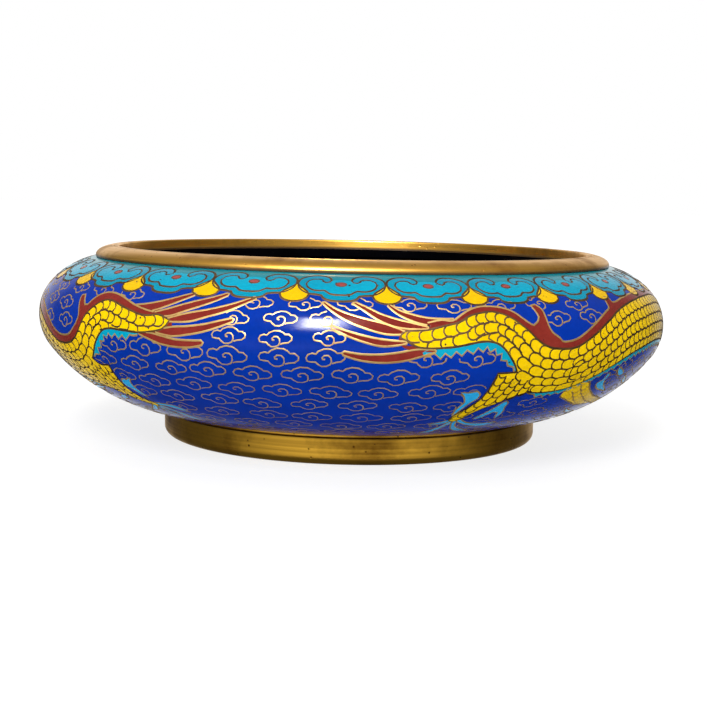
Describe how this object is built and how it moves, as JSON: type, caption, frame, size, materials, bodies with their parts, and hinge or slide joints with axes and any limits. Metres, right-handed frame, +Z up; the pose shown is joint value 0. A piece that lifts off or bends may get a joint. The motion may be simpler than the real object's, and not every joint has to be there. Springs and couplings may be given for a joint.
{
  "type": "cloisonne vase",
  "caption": "Low round enamelled copper bowl vase with a brass mouth rim and foot, lappet border, scroll clouds and two wire-outlined dragons.",
  "frame": {"origin": "centre of the foot ring's resting face", "axes": "+Z up out of the mouth; -Y faces the front, where the two dragon tails meet; +X to the viewer's right"},
  "size_m": [0.2011, 0.201, 0.0605],
  "materials": {
    "copper": "satin, hidden under enamel",
    "rim_brass": "gilded, worn and polished",
    "foot_brass": "patinated, pitted",
    "solder": "dull",
    "lining": "gloss fired enamel, near black",
    "blue_enamel": "gloss fired enamel, cobalt blue",
    "teal_enamel": "gloss fired enamel, teal",
    "turquoise_enamel": "gloss fired enamel, turquoise",
    "coral_enamel": "gloss fired enamel, coral",
    "yellow_enamel": "gloss fired enamel, yellow",
    "red_enamel": "gloss fired enamel, brick red",
    "sky_enamel": "gloss fired enamel, light blue",
    "wire_brass": "gilded wire, ground flush and polished"
  },
  "bodies": {
    "root": {"copper_bowl": "copper", "mouth_rim": "rim_brass", "rim_solder": "solder", "foot_ring": "foot_brass", "foot_solder": "solder", "inner_enamel": "lining", "base_enamel": "lining", "ground_enamel": "blue_enamel", "collar_enamel": "teal_enamel", "lappet_enamel": "turquoise_enamel", "coral_dots": "coral_enamel", "pendants": "yellow_enamel", "lappet_wires": "wire_brass", "cloud_wires": "wire_brass", "east_scales": "yellow_enamel", "east_fin": "red_enamel", "east_fringe": "turquoise_enamel", "east_tail_hair": "red_enamel", "east_legs": "yellow_enamel", "east_claws": "sky_enamel", "east_head": "yellow_enamel", "east_mane": "red_enamel", "east_wires": "wire_brass", "west_scales": "yellow_enamel", "west_fin": "red_enamel", "west_fringe": "turquoise_enamel", "west_tail_hair": "red_enamel", "west_legs": "yellow_enamel", "west_claws": "sky_enamel", "west_head": "yellow_enamel", "west_mane": "red_enamel", "west_wires": "wire_brass", "pearl": "coral_enamel", "pearl_flames": "red_enamel"}
  },
  "joints": []
}
